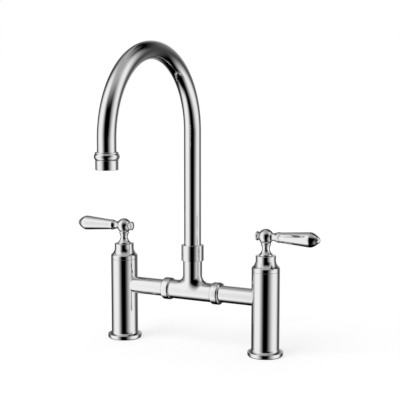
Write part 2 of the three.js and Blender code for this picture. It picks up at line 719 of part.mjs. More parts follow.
function spoutBush() {
  return solid(turned([
    [bushBore, bushBottom],
    [bushRadius, bushBottom],
    ...groove(bushRadius, lowerRingHeight),
    ...groove(bushRadius, upperRingHeight),
    [bushRadius, bushFlangeBottom],
    [threadRadius - FIT_GAP, bushFlangeBottom],
    [threadRadius - FIT_GAP, bushFlangeTop],
    [bushRadius, bushFlangeTop],
    [bushRadius, tubeBottom + BUSH_SPIGOT],
    [bushBore, tubeBottom + BUSH_SPIGOT],
  ], INNER_SIDES));
}

function spoutSlipWasher() {
  const inner = SPOUT_RADIUS + FIT_GAP;
  return solid(washer(inner, threadRadius - FIT_GAP, tubeBottom, lipBottom - FIT_GAP, OUTER_SIDES));
}

function spoutCollarNut() {
  const shaft = SPOUT_RADIUS + FIT_GAP;
  return solid(turned([
    [threadRadius, collarBottom],
    [threadRadius + FIT_GAP, collarBottom],
    [COLLAR_RADIUS, collarBottom + COLLAR_FOOT],
    [COLLAR_RADIUS, collarTop - COLLAR_CHAMFER],
    [COLLAR_RADIUS - COLLAR_CHAMFER, collarTop],
    [shaft, collarTop],
    [shaft, lipBottom],
    [threadRadius, lipBottom],
  ]));
}

// ---- Gooseneck ------------------------------------------------------------------------------

// The tube's centre line: straight up, half a circle forwards, and straight down to its end.
class GooseneckPath extends THREE.Curve {
  rise = archHeight - tubeBottom;
  bend = Math.PI * ARCH_RADIUS;
  drop = archHeight - tubeEnd;

  getPoint(t, target = new THREE.Vector3()) {
    const way = t * (this.rise + this.bend + this.drop);
    if (way < this.rise) return target.set(0, 0, tubeBottom + way);
    const turn = (way - this.rise) / ARCH_RADIUS;
    if (turn > Math.PI) {
      return target.set(0, outletY, archHeight - (way - this.rise - this.bend));
    }
    const y = ARCH_RADIUS * (Math.cos(turn) - 1);
    return target.set(0, y, archHeight + ARCH_RADIUS * Math.sin(turn));
  }
}

function gooseneckTube() {
  const section = new THREE.Shape().absarc(0, 0, SPOUT_RADIUS, 0, 2 * Math.PI, false);
  section.holes.push(new THREE.Path().absarc(0, 0, spoutBore, 0, 2 * Math.PI, true));
  const tube = new THREE.ExtrudeGeometry(section, {
    steps: GOOSENECK_STEPS,
    curveSegments: INNER_SIDES / 2, // a circle has twice as many corners
    extrudePath: new GooseneckPath(),
  });
  return solid(tube);
}

// ---- Spout end ------------------------------------------------------------------------------

function spoutEndCollar() {
  const ringBottom = beadBottom + BEAD_HEIGHT;
  const tube = SPOUT_RADIUS + FIT_GAP;
  const lip = spoutBore;
  const beadStart = [AERATOR_RADIUS, beadBottom + FIT_GAP];
  const beadSag = BEAD_RADIUS - (AERATOR_RADIUS + BEAD_RING_RADIUS) / 2;
  return solid(turned([
    [lip, beadBottom],
    [AERATOR_RADIUS, beadBottom],
    ...arc(beadStart, [BEAD_RING_RADIUS, ringBottom], beadSag, 4),
    [BEAD_RING_RADIUS, beadTop - FIT_GAP],
    [BEAD_RING_RADIUS - FIT_GAP, beadTop],
    [tube, beadTop],
    [tube, beadBottom + BEAD_LIP],
    [lip, beadBottom + BEAD_LIP],
  ]));
}

function aeratorHousing() {
  const spigot = spoutBore - FIT_GAP;
  const waterway = spigot - AERATOR_WALL;
  const edgeTop = [AERATOR_RADIUS, OUTLET_HEIGHT + AERATOR_EDGE];
  const edgeBottom = [AERATOR_RADIUS - AERATOR_EDGE, OUTLET_HEIGHT];
  return solid(turned([
    [aeratorBore, OUTLET_HEIGHT],
    ...arc(edgeBottom, edgeTop, quarter(edgeBottom, edgeTop), 2),
    [AERATOR_RADIUS, aeratorTop],
    [spigot, aeratorTop],
    [spigot, aeratorTop + AERATOR_SPIGOT],
    [waterway, aeratorTop + AERATOR_SPIGOT],
    [waterway, aeratorTop - AERATOR_ROOF],
    [aeratorBore, aeratorTop - AERATOR_ROOF],
  ]));
}

const aeratorWasherTop = aeratorTop - AERATOR_ROOF - FIT_GAP;
const aeratorWasherBottom = aeratorWasherTop - AERATOR_WASHER;

function aeratorWasher() {
  const outer = aeratorBore - FIT_GAP;
  const inner = outer - AERATOR_WASHER_WIDTH;
  return solid(washer(inner, outer, aeratorWasherBottom, aeratorWasherTop));
}

// The insert's holes lie on rings, six more on each ring than on the one inside it.
function aeratorInsert() {
  const radius = aeratorBore - FIT_GAP;
  const bottom = OUTLET_HEIGHT + AERATOR_RECESS;
  const top = aeratorWasherBottom - FIT_GAP;
  let insert = solid(rod(radius, bottom, top));
  for (let ring = 0; ring <= AERATOR_RINGS; ring += 1) {
    const count = Math.max(1, 6 * ring);
    const ringRadius = (ring * radius) / (AERATOR_RINGS + 1);
    for (let i = 0; i < count; i += 1) {
      const hole = rod(AERATOR_HOLE, bottom - BEYOND, top + BEYOND, HOLE_SIDES);
      hole.translate(ringRadius, 0, 0).rotateZ((2 * Math.PI * i) / count);
      insert = insert.subtract(solid(hole));
    }
  }
  return insert;
}

// ---- Assembly -------------------------------------------------------------------------------

const faucet = new THREE.Group();

for (const [side, turn] of [['left', Math.PI], ['right', 0]]) {
  const half = new THREE.Group(); // built on the right, and turned half round for the left
  half.rotation.z = turn;
  half.add(
    piece(`${side}_bridge_pipe`, bridgePipe(), CHROME),
    piece(`${side}_union_nut`, unionNut(), CHROME),
    piece(`${side}_union_seal`, unionSeal(), RUBBER),
  );

  const pillar = new THREE.Group();
  pillar.position.x = pillarX;
  pillar.add(
    piece(`${side}_pillar_body`, pillarBody(), CHROME),
    piece(`${side}_base_flange`, baseFlange(), CHROME),
    piece(`${side}_flange_gasket`, flangeGasket(), RUBBER),
    piece(`${side}_inlet_riser`, inletRiser(), BRASS),
    piece(`${side}_riser_o_ring`, oRing(pillarBore - SEAL_GAP, partitionMiddle), RUBBER),
    piece(`${side}_cartridge_body`, cartridgeBody(), BRASS),
    piece(`${side}_cartridge_seal`, cartridgeSeal(), RUBBER),
    piece(`${side}_fixed_disc`, fixedDisc(), CERAMIC),
    piece(`${side}_moving_disc`, movingDisc(), CERAMIC),
    piece(`${side}_spindle`, spindle(), BRASS),
    piece(`${side}_bonnet`, bonnet(), CHROME),
    piece(`${side}_lever_stem`, leverStem(), CHROME),
    piece(`${side}_lever_grip`, leverGrip(), CHROME),
    piece(`${side}_lever_finial`, leverFinial(), CHROME),
    piece(`${side}_back_button`, backButton(), CHROME),
  );

  const hub = new THREE.Group(); // turned back, so that both grub screws are at the rear
  hub.rotation.z = -turn;
  hub.add(
    piece(`${side}_handle_hub`, handleHub(), CHROME),
    piece(`${side}_hub_grub_screw`, grubScrew(), STEEL),
  );
  pillar.add(hub);
  half.add(pillar);
  faucet.add(half);
}

faucet.add(
  piece('center_tee', centerTee(), CHROME),
  piece('spout_collar_nut', spoutCollarNut(), CHROME),
  piece('spout_slip_washer', spoutSlipWasher(), PLASTIC),
  piece('spout_bush', spoutBush(), BRASS),
  piece('spout_o_ring_lower', oRing(bushRadius + SEAL_GAP, lowerRingHeight), RUBBER),
  piece('spout_o_ring_upper', oRing(bushRadius + SEAL_GAP, upperRingHeight), RUBBER),
  piece('gooseneck_tube', gooseneckTube(), CHROME),
);

const spoutEnd = new THREE.Group();
spoutEnd.position.y = outletY;
spoutEnd.add(
  piece('spout_end_collar', spoutEndCollar(), CHROME),
  piece('aerator_housing', aeratorHousing(), CHROME),
  piece('aerator_washer', aeratorWasher(), RUBBER),
  piece('aerator_insert', aeratorInsert(), PLASTIC),
);
faucet.add(spoutEnd);

export default faucet;
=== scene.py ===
# %% [markdown]
# # A chrome bridge faucet
# The object is a kitchen faucet: two pillars with lever valves, a bridge pipe between them, and a
# tall gooseneck spout that turns in the bridge's tee. Everything that shows is polished chrome,
# so the picture stands or falls with how smooth the surfaces are and with what they mirror.
#
# The CAD model is loaded as a fixed frame. Its solids have flat facets, which a mirror finish
# would show as stripes, so each chrome piece is redrawn here as a smooth surface of the same
# size. The hidden pieces inside stay as the CAD made them, and only get a finish.

# %% Load the frame
import json

import bmesh
import bpy
import numpy as np
from mathutils import Matrix, Vector


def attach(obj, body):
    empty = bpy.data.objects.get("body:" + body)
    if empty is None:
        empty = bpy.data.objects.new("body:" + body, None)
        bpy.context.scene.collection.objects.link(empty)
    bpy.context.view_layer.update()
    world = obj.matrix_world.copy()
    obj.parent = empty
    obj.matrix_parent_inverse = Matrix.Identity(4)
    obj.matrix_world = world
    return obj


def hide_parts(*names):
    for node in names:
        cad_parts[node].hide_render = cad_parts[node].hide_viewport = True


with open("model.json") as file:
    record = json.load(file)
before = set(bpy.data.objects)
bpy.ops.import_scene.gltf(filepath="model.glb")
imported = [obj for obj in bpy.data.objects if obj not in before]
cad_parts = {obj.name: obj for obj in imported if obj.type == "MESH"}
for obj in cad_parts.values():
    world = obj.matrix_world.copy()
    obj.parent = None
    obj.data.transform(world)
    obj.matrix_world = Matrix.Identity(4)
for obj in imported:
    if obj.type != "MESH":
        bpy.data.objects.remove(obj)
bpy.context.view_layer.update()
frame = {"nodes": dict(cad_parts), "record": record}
MM = 0.001

# %% [markdown]
# ## The main sizes
# A smooth piece has to sit exactly where its CAD piece sits. The boxes of the CAD nodes give only
# their outsides, so the sizes that several pieces share are written down here once, in
# millimetres.

# %% Write down the main sizes, in millimetres
PILLAR_X = 101.6
PILLAR_RADIUS = 17.35
PILLAR_BORE = 13.5
PILLAR_TOP = 105.5
FOOT_RADIUS = 15.5
FOOT_HEIGHT = 10.5
SEAM = 0.15
BONNET_FOOT = PILLAR_TOP + SEAM
BONNET_TOP = 125.4
SHAFT_BORE = 4.3
LEVER_HEIGHT = 148.9
BALL_RADIUS = 9.45
BRIDGE_HEIGHT = 71.8
BRIDGE_RADIUS = 10.7
BRIDGE_BORE = 7.9
THREAD_RADIUS = 12.4
TEE_RADIUS = 12.1
TUBE_RADIUS = 10.7
TUBE_BORE = 9.4
ARCH_RADIUS = 98.45
ARCH_HEIGHT = 274.8
OUTLET_Y = -2 * ARCH_RADIUS
OUTLET_HEIGHT = 241.8
NUT_BORE = 11

# %% [markdown]
# ## Outlines
# Nearly every piece of a faucet is turned on a lathe, so it is an outline carried round an axis.
# An outline is a list of corners: how far from the axis, how far along it, and how wide the
# corner is rounded. No real edge is sharp, and on chrome the rounding is what catches the light.

# %% Round the corners of an outline
SAME_POINT = 1e-5
ROOM_SHARE = 0.35
FLAT_REACH = 1.3


def rounded(corners, steps=5):
    """Each corner gives way to a curve that leaves one side and joins the other at the corner's
    third number from it, pulled towards the corner in between: (1 - t)^2 times the one end, plus
    2t(1 - t) times the corner, plus t^2 times the other end. No curve takes more than ROOM_SHARE
    of a side. A point beyond each end, FLAT_REACH times as far from the corner, keeps the sides
    between the curves flat when they are shaded smooth."""
    corners = np.asarray(corners, float)
    is_new = np.linalg.norm((corners - np.roll(corners, 1, axis=0))[:, :2], axis=1) > SAME_POINT
    corners = corners[is_new]
    place = corners[:, :2]
    back, ahead = np.roll(place, 1, axis=0) - place, np.roll(place, -1, axis=0) - place
    back_length = np.linalg.norm(back, axis=1, keepdims=True)
    ahead_length = np.linalg.norm(ahead, axis=1, keepdims=True)
    room = ROOM_SHARE * np.minimum(back_length, ahead_length)
    bend = np.minimum(corners[:, 2:], room)
    start, end = place + back / back_length * bend, place + ahead / ahead_length * bend
    t = np.linspace(0, 1, steps)[:, None, None]
    curve = (1 - t) ** 2 * start + 2 * t * (1 - t) * place + t**2 * end
    before = place + back / back_length * bend * FLAT_REACH
    after = place + ahead / ahead_length * bend * FLAT_REACH
    points = np.concatenate([before[None], curve, after[None]]).transpose(1, 0, 2).reshape(-1, 2)
    is_new = np.linalg.norm(points - np.roll(points, 1, axis=0), axis=1) > SAME_POINT
    return points[is_new]


def bow(start, end, sag, steps=12):
    """Corners on a round arc from start to end. A sag above zero bows it to the right of the way
    there. The arc turns by four times the angle whose tangent is sag over half the chord."""
    start, end = np.asarray(start, float), np.asarray(end, float)
    half = np.linalg.norm(end - start) / 2
    sweep = 2 * np.arctan(sag / half)
    radius = half / np.sin(sweep)
    angle = sweep * np.linspace(-1, 1, steps + 1)[:, None]
    along = (end - start) / (2 * half)
    right = np.array([along[1], -along[0]])
    middle = (start + end) / 2
    arc = middle + radius * (np.sin(angle) * along + (np.cos(angle) - np.cos(sweep)) * right)
    return np.hstack([arc, np.zeros_like(angle)])


def through(points, steps=6):
    """Corners on a smooth curve through the points (a Catmull-Rom spline): between two of them it
    is a cubic whose slope at each is half the way from the point before to the point after."""
    points = np.asarray(points, float)
    slopes = np.gradient(points, axis=0)
    t = np.linspace(0, 1, steps, endpoint=False)[None, :, None]
    a, b, sa, sb = points[:-1, None], points[1:, None], slopes[:-1, None], slopes[1:, None]
    curve = (
        (2 * t**3 - 3 * t**2 + 1) * a
        + (t**3 - 2 * t**2 + t) * sa
        + (3 * t**2 - 2 * t**3) * b
        + (t**3 - t**2) * sb
    ).reshape(-1, 2)
    curve = np.vstack([curve, points[-1:]])
    return np.hstack([curve, np.zeros((len(curve), 1))])


square = [(1, 0, 0.2), (2, 0, 0.2), (2, 1, 0.2), (1, 1, 0.2)]
print("a square with rounded corners has", len(rounded(square)), "points")

# %% [markdown]
# ## Surfaces
# Carried round its axis, an outline is a grid of points: one row for each point of the outline
# and one column for each step round. Blender's Screw modifier does the same, but with the grid
# in hand, the rows can also be bent to fit another piece, as the bridge pipe's end needs.

# %% Carry an outline round an axis
SIDES = 128
around = np.linspace(0, 2 * np.pi, SIDES, endpoint=False)


def turned(corners):
    """A grid of points: the outline's distance from the axis times the cosine and the sine of the
    angle, and its place along +Z as it is."""
    radius, height = rounded(corners).T[:, :, None]
    flat = np.zeros_like(around)
    return np.stack([radius * np.cos(around), radius * np.sin(around), height + flat], axis=-1)


def along_x(points):
    """Turns +Z to +X, by passing each coordinate on to the next axis."""
    return np.roll(points, 1, axis=-1)


def placed(points, x=0, y=0, z=0):
    """Moved along the three axes."""
    return points + np.array([x, y, z], float)


def half_turn(points):
    """Half a turn about +Z, which makes the left side's pieces from the right side's."""
    return points * np.array([-1, -1, 1])


print("each turned piece has", SIDES, "columns of points")

# %% [markdown]
# ## From grid to mesh
# Four neighbouring points of the grid make a face. An outline that goes all the way round a wall
# closes on itself, and one that starts and ends on the axis leaves a ring of points there, which
# are merged into one. Then every mesh is closed, and Blender can turn all its faces outwards.

# %% Make a mesh from grids
SHARP_ANGLE = np.radians(50)
WELD_DISTANCE = 1e-6
ON_AXIS = 1e-6


def grid_faces(rows, columns, wrap_rows, wrap_columns=True):
    """A face for each point: itself, its neighbour in the next column, and the same two in the
    next row. Rows and columns close into a ring where wrap_rows and wrap_columns say so."""
    row, column = np.mgrid[: rows - (not wrap_rows), : columns - (not wrap_columns)]
    next_row, next_column = (row + 1) % rows, (column + 1) % columns
    corners = [(row, column), (row, next_column), (next_row, next_column), (next_row, column)]
    return np.stack([r * columns + c for r, c in corners], axis=-1).reshape(-1, 4)


def weld(mesh):
    """Merges points that fall together, and turns the faces outwards."""
    work = bmesh.new()
    work.from_mesh(mesh)
    bmesh.ops.remove_doubles(work, verts=work.verts, dist=WELD_DISTANCE)
    bmesh.ops.dissolve_degenerate(work, edges=work.edges, dist=WELD_DISTANCE / 10)
    bmesh.ops.recalc_face_normals(work, faces=work.faces)
    open_edges = sum(not edge.is_manifold for edge in work.edges)
    work.to_mesh(mesh)
    work.free()
    return open_edges


def add_piece(name, body, node, points, finish):
    """A piece from a grid of points in millimetres. It rides on a CAD body and stands for a CAD
    node. A grid whose first and last rows have no width ends on the axis and isn't wrapped."""
    width_at_ends = np.ptp(points[[0, -1], :, :], axis=1).max()
    faces = grid_faces(*points.shape[:2], wrap_rows=width_at_ends > ON_AXIS)
    return add_mesh(name, body, node, points.reshape(-1, 3), faces, finish)


def add_mesh(name, body, node, vertices, faces, finish):
    """A piece from points in millimetres and faces that list their corners' numbers."""
    mesh = bpy.data.meshes.new(name)
    mesh.from_pydata(vertices * MM, [], faces)
    open_edges = weld(mesh)
    mesh.shade_smooth()
    mesh.set_sharp_from_angle(angle=SHARP_ANGLE)
    mesh.materials.append(finish)
    piece = bpy.data.objects.new(name, mesh)
    bpy.context.collection.objects.link(piece)
    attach(piece, body)
    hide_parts(node)
    print(f"{name}: {len(mesh.polygons)} faces, {open_edges} open edges, rides on {body}")
    return piece

# %% [markdown]
# ## Finishes
# Polished chrome is almost a perfect mirror. What tells it from a computer's mirror is faint: the
# buffing wheel leaves slow waves in the surface, and a thin film of wear dulls it in patches. The
# other finishes are only met inside, or from below, yet each gets the grain of the real one.
#
# Each finish is one shader with the same three helpers: patches that change how rough it is, a
# fine grain that bumps it, and slow waves under that. All of them read Object coordinates, which
# stay on the metal when a lever turns.

# %% Make a finish
NOISE_LOW, NOISE_HIGH = 0.3, 0.7


def new_finish(
    name, color, metallic, rough, patch, grain, waves=(1, 0), tint=None, stretch=(1, 1, 1),
):
    """rough is the lowest and the highest roughness, and patch how wide in mm they change. grain
    and waves are (width in mm, depth in mm) of the fine and of the slow bumps. tint is the second
    colour of the patches, and stretch squeezes the grain along X, Y or Z. Most of the noise lies
    between NOISE_LOW and NOISE_HIGH, so the roughness is spread over that range."""
    finish = bpy.data.materials.new(name)
    finish.use_nodes = True
    nodes, link = finish.node_tree.nodes, finish.node_tree.links.new
    shader = nodes["Principled BSDF"]
    shader.inputs["Metallic"].default_value = metallic
    shader.inputs["Base Color"].default_value = (*color, 1)
    place = nodes.new("ShaderNodeTexCoord").outputs["Object"]

    def noise(width, detail, source=place):
        texture = nodes.new("ShaderNodeTexNoise")
        texture.inputs["Scale"].default_value = 1 / (width * MM)
        texture.inputs["Detail"].default_value = detail
        link(source, texture.inputs["Vector"])
        return texture.outputs["Fac"]

    patches = noise(patch, 3)
    spread = nodes.new("ShaderNodeMapRange")
    spread.inputs["From Min"].default_value = NOISE_LOW
    spread.inputs["From Max"].default_value = NOISE_HIGH
    spread.inputs["To Min"].default_value, spread.inputs["To Max"].default_value = rough
    link(patches, spread.inputs["Value"])
    link(spread.outputs["Result"], shader.inputs["Roughness"])

    if tint:
        mix = nodes.new("ShaderNodeMix")
        mix.data_type = "RGBA"
        mix.inputs["A"].default_value, mix.inputs["B"].default_value = (*color, 1), (*tint, 1)
        link(patches, mix.inputs["Factor"])
        link(mix.outputs["Result"], shader.inputs["Base Color"])

    squeeze = nodes.new("ShaderNodeMapping")
    squeeze.inputs["Scale"].default_value = stretch
    link(place, squeeze.inputs["Vector"])
    normal = None
    for (width, depth), detail, source in ((waves, 1, place), (grain, 2, squeeze.outputs["Vector"])):
        if depth:
            bump = nodes.new("ShaderNodeBump")
            bump.inputs["Distance"].default_value = depth * MM
            link(noise(width, detail, source), bump.inputs["Height"])
            if normal:
                link(normal, bump.inputs["Normal"])
            normal = bump.outputs["Normal"]
    link(normal, shader.inputs["Normal"])
    print(f"{name}: roughness {rough[0]} to {rough[1]} in patches of {patch} mm")
    return finish


# %% Mix the six finishes
chrome = new_finish(
    "polished_chrome", (0.84, 0.842, 0.845), 1, (0.015, 0.04), patch=12,
    grain=(0.6, 0.00004), waves=(35, 0.004), tint=(0.855, 0.855, 0.855),
)
finishes = {
    "polished_chrome": chrome,
    "raw_brass": new_finish(
        "raw_brass", (0.52, 0.36, 0.13), 1, (0.24, 0.42), patch=4,
        grain=(0.8, 0.02), tint=(0.44, 0.27, 0.09), stretch=(0.1, 0.1, 3),
    ),
    "set_screw_steel": new_finish(
        "set_screw_steel", (0.40, 0.40, 0.41), 1, (0.22, 0.38), patch=1.5,
        grain=(0.3, 0.006), tint=(0.31, 0.31, 0.33), stretch=(3, 0.3, 3),
    ),
    "black_rubber": new_finish(
        "black_rubber", (0.012, 0.012, 0.013), 0, (0.62, 0.85), patch=3,
        grain=(0.25, 0.01), tint=(0.022, 0.022, 0.022),
    ),
    "white_ceramic": new_finish(
        "white_ceramic", (0.82, 0.81, 0.77), 0, (0.16, 0.3), patch=5,
        grain=(0.15, 0.002), tint=(0.78, 0.76, 0.71),
    ),
    "white_plastic": new_finish(
        "white_plastic", (0.76, 0.76, 0.73), 0, (0.38, 0.52), patch=6,
        grain=(0.2, 0.004), waves=(5, 0.01), tint=(0.72, 0.72, 0.68),
    ),
}

# %% Give the CAD's own pieces their finish
for part in frame["record"]["subparts"]:
    for material_slot in frame["nodes"][part["node"]].material_slots:
        material_slot.material = finishes[part["material_slot"]]

# %% [markdown]
# ## Pillars and flanges
# A pillar is a thick brass tube, turned smooth and plated. Its foot stands in a flange that
# flares out to the deck. A cylinder from Blender's menu would do for the tube's side, but not for
# its rounded rim, nor for the narrow dark seams that the photograph shows above and below it. So
# both pieces are outlines, wall and bore included. The flange has a groove below for its gasket.
# The left side is the right side, turned round.

# %% Add a piece to both sides
def add_pair(name, body, node, points):
    """Two chrome pieces from points round the right pillar's axis. {side} in the body's name is
    filled in."""
    right = placed(points, x=PILLAR_X)
    return [
        add_piece(f"{side}_{name}", body.format(side=side), f"{side}_{node}", grid, chrome)
        for side, grid in (("right", right), ("left", half_turn(right)))
    ]


# %% Turn the pillars
PILLAR_LIFT = 0.3
add_pair("pillar_tube", "base", "pillar_body", turned([
    (PILLAR_BORE, PILLAR_LIFT, 0.2),
    (FOOT_RADIUS, PILLAR_LIFT, 0.3),
    (FOOT_RADIUS, FOOT_HEIGHT, 0.1),
    (PILLAR_RADIUS, FOOT_HEIGHT, 0.02),
    (PILLAR_RADIUS, PILLAR_TOP, 0.25),
    (PILLAR_BORE, PILLAR_TOP, 0.2),
]))

# %% Turn the flanges
FLANGE_BORE = 15.8
FLANGE_RADIUS = 22.1
FLANGE_RIM = 5.7
FLANGE_TOP = 10.48
GROOVE_IN, GROOVE_OUT, GROOVE_DEPTH = 16.8, 19.4, 1.7
add_pair("flared_flange", "base", "base_flange", turned(np.vstack([
    [(FLANGE_BORE, 0, 0.2), (GROOVE_IN, 0, 0.1), (GROOVE_IN, GROOVE_DEPTH, 0.1)],
    [(GROOVE_OUT, GROOVE_DEPTH, 0.1), (GROOVE_OUT, 0, 0.1)],
    bow((19.7, 0), (FLANGE_RADIUS, 2.4), 0.7),
    [(FLANGE_RADIUS, FLANGE_RIM, 0.45)],
    bow((21.4, FLANGE_RIM), (PILLAR_RADIUS, 9.95), -1.2, 20),
    [(PILLAR_RADIUS, FLANGE_TOP, 0.02), (FLANGE_BORE, FLANGE_TOP, 0.1)],
])))

# %% [markdown]
# ## Bonnets
# The bonnet screws down on the valve. It starts as a ring of the pillar's own width, and sweeps
# in to a narrower bell. The hollow sweep squeezes the whole room into a few millimetres of
# chrome, so it gets the most rows.

# %% Turn the bonnets
BELL_RADIUS = 12.4
BELL_BORE = 9.5
BELL_CEILING = 122.5
add_pair("bell_bonnet", "base", "bonnet", turned(np.vstack([
    [(PILLAR_BORE, BONNET_FOOT, 0.2), (PILLAR_RADIUS, BONNET_FOOT, 0.25)],
    [(PILLAR_RADIUS, 110.2, 0.6)],
    bow((16.7, 111.2), (BELL_RADIUS, 120.1), -1.15, 24),
    [(BELL_RADIUS + 0.05, 122.6, 0.4), (BELL_RADIUS + 0.25, BONNET_TOP, 0.6)],
    [(SHAFT_BORE, BONNET_TOP, 0.2), (SHAFT_BORE, BELL_CEILING, 0), (BELL_BORE, BELL_CEILING, 0)],
    [(BELL_BORE, 112, 0), (PILLAR_BORE, 110, 0)],
])))

# %% [markdown]
# ## Handle hubs
# The hub is a small baluster: a flared foot with a thin lip, a waist, a ring and a ball. The
# lower half of the ball is drawn out a little, as its outline in the photograph shows. A sphere
# joined to a cone would give a crease where they meet, and chrome shows every crease, so the
# whole hub is one outline, from the bore that takes the spindle to the top of the ball.

# %% Turn the hubs
HUB_FOOT = BONNET_TOP + 0.25
TANG_BORE, BORE_TOP, BORE_STEP = 2.9, 144.9, 131.3
hub_points = turned(np.vstack([
    [(0, BORE_TOP, 0), (TANG_BORE, BORE_TOP, 0), (TANG_BORE, BORE_STEP, 0)],
    [(SHAFT_BORE, BORE_STEP, 0), (SHAFT_BORE, HUB_FOOT, 0.2), (8.3, HUB_FOOT, 0.2)],
    through([
        (8.35, 126.0), (8.2, 126.9), (7.55, 127.8), (6.8, 128.6), (6.25, 129.4), (5.65, 130.5),
        (5.1, 131.7), (4.82, 132.9), (4.78, 134.2), (4.95, 135.6), (5.4, 137.0), (5.75, 138.1),
    ]),
    bow((5.8, 138.3), (5.85, 141.0), 0.5, 10),
    bow((5.85, 141.05), (BALL_RADIUS, LEVER_HEIGHT), 0.8, 20),
    bow((BALL_RADIUS, LEVER_HEIGHT), (0, LEVER_HEIGHT + BALL_RADIUS), 2.768, 24),
]))
hubs = add_pair("ball_hub", "{side}_handle", "handle_hub", hub_points)

# %% [markdown]
# A grub screw in the back of each hub holds it on the spindle. Its hole is a real one: a small
# rod is taken away from the ball with a Boolean modifier, and the result becomes the mesh. The
# screw's six-sided socket is a round one whose radius grows and shrinks six times on its way
# round.

# %% Drill the hubs
SCREW_HEIGHT = 142.0
HOLE_RADIUS, HOLE_START, HOLE_END = 2.1, 2, 12


def along_y(points):
    """Turns +Z to +Y, by passing each coordinate back to the axis before."""
    return np.roll(points, -1, axis=-1)


def drill(piece, points):
    """Takes a closed grid of points away from a piece."""
    mesh = bpy.data.meshes.new("drill")
    mesh.from_pydata(points.reshape(-1, 3) * MM, [], grid_faces(*points.shape[:2], False))
    weld(mesh)
    tool = bpy.data.objects.new("drill", mesh)
    bpy.context.collection.objects.link(tool)
    cut = piece.modifiers.new("hole", "BOOLEAN")
    cut.object, cut.operation, cut.solver = tool, "DIFFERENCE", "EXACT"
    shown = piece.evaluated_get(bpy.context.evaluated_depsgraph_get())
    drilled = bpy.data.meshes.new_from_object(shown)
    piece.modifiers.clear()
    piece.data = drilled
    drilled.set_sharp_from_angle(angle=SHARP_ANGLE)
    bpy.data.objects.remove(tool)
    print(f"{piece.name}: drilled, now {len(drilled.polygons)} faces")


bit = along_y(turned([
    (0, HOLE_START, 0), (HOLE_RADIUS, HOLE_START, 0), (HOLE_RADIUS, HOLE_END, 0), (0, HOLE_END, 0),
]))
for hub, hub_x in zip(hubs, (PILLAR_X, -PILLAR_X)):
    drill(hub, placed(bit, x=hub_x, z=SCREW_HEIGHT))

# %% Turn the grub screws
SCREW_RADIUS, SCREW_START, SCREW_END = 1.8, 2.9, 6.2
SOCKET_RADIUS, SOCKET_FLOOR = 1.0, 4.6
screw = turned([
    (0, SCREW_START, 0), (SCREW_RADIUS, SCREW_START, 0.1), (SCREW_RADIUS, SCREW_END, 0.15),
    (SOCKET_RADIUS, SCREW_END, 0.05), (SOCKET_RADIUS, SOCKET_FLOOR, 0.05), (0, SOCKET_FLOOR, 0),
])
in_socket = np.hypot(screw[..., 0], screw[..., 1]).max(axis=1) < SOCKET_RADIUS + 0.1
in_socket &= screw[:, 0, 2] > (SCREW_START + SOCKET_FLOOR) / 2
# A hexagon's edge lies at the cosine of 30 degrees over the cosine of the angle from a flat.
six_sided = np.cos(np.pi / 6) / np.cos(around % (np.pi / 3) - np.pi / 6)
screw[in_socket, :, :2] *= six_sided[:, None]
for side, hub_x in (("right", PILLAR_X), ("left", -PILLAR_X)):
    add_piece(
        f"{side}_hub_screw", f"{side}_handle", f"{side}_hub_grub_screw",
        placed(along_y(screw), x=hub_x, z=SCREW_HEIGHT),
        finishes["set_screw_steel"],
    )

# %% [markdown]
# ## Levers
# Each lever is a row of turned pieces on one axis: a neck that swells to a collar, a long grip
# that widens to a belly, a small button that closes its end, and a button behind the ball. On
# the real lever they are screwed together, so each keeps its own piece and a fine seam. The long
# curves go through a few points that follow the photograph's outline. Each point's first number
# is how far it lies from the lever's axis, and its second how far from the ball's middle.

# %% Turn the levers
STUD_RADIUS = 2.5
ROD_RADIUS, ROD_BORE = 3.2, 3.5
COLLAR_END = 19.1
GRIP_END = 66.2
BUTTON_RADIUS = 5.65
lever = {
    "lever_neck": ("lever_stem", np.vstack([
        [(0, -11.45, 0), (STUD_RADIUS, -11.45, 0.2), (STUD_RADIUS, 6.7, 0), (6.2, 6.7, 0)],
        through([
            (6.2, 7.0), (5.5, 7.9), (5.05, 8.9), (4.85, 10.2), (4.95, 11.5), (5.25, 12.8),
            (5.75, 14.2), (6.25, 15.4), (6.58, 16.3), (6.65, 17.0), (6.63, 18.0), (6.55, COLLAR_END),
        ]),
        [(ROD_RADIUS, COLLAR_END, 0), (ROD_RADIUS, 46, 0.2), (0, 46, 0)],
    ])),
    "lever_handgrip": ("lever_grip", np.vstack([
        [(ROD_BORE, COLLAR_END + 0.1, 0), (6.4, COLLAR_END + 0.1, 0.1)],
        through([
            (6.45, 19.5), (6.5, 21.5), (6.72, 24), (7.17, 30), (7.65, 36), (8.13, 42), (8.63, 48),
            (9.1, 54), (9.33, 57.5), (9.2, 59.2), (8.6, 61.2), (7.75, 63), (6.9, 64.5),
            (5.7, GRIP_END),
        ]),
        [(ROD_BORE, GRIP_END + 0.1, 0)],
    ])),
    "lever_end_button": ("lever_finial", np.vstack([
        [(0, 54.3, 0), (ROD_RADIUS, 54.3, 0.2), (ROD_RADIUS, 66.6, 0), (4.9, 66.6, 0.15)],
        bow((4.95, 66.9), (0, 70.8), 0.8, 16),
    ])),
    "ball_button": ("back_button", np.vstack([
        [(0, -11.75, 0), (2.8, -11.75, 0), (2.8, -8.0, 0), (3.8, -8.0, 0)],
        [(3.8, -10.5, 0.3), (BUTTON_RADIUS, -10.5, 0.3), (BUTTON_RADIUS, -12.0, 0.35)],
        bow((0, -14.3), (5.45, -12.25), 0.5, 16)[::-1],
    ])),
}
for name, (node, outline) in lever.items():
    add_pair(name, "{side}_handle", node, placed(along_x(turned(outline)), z=LEVER_HEIGHT))

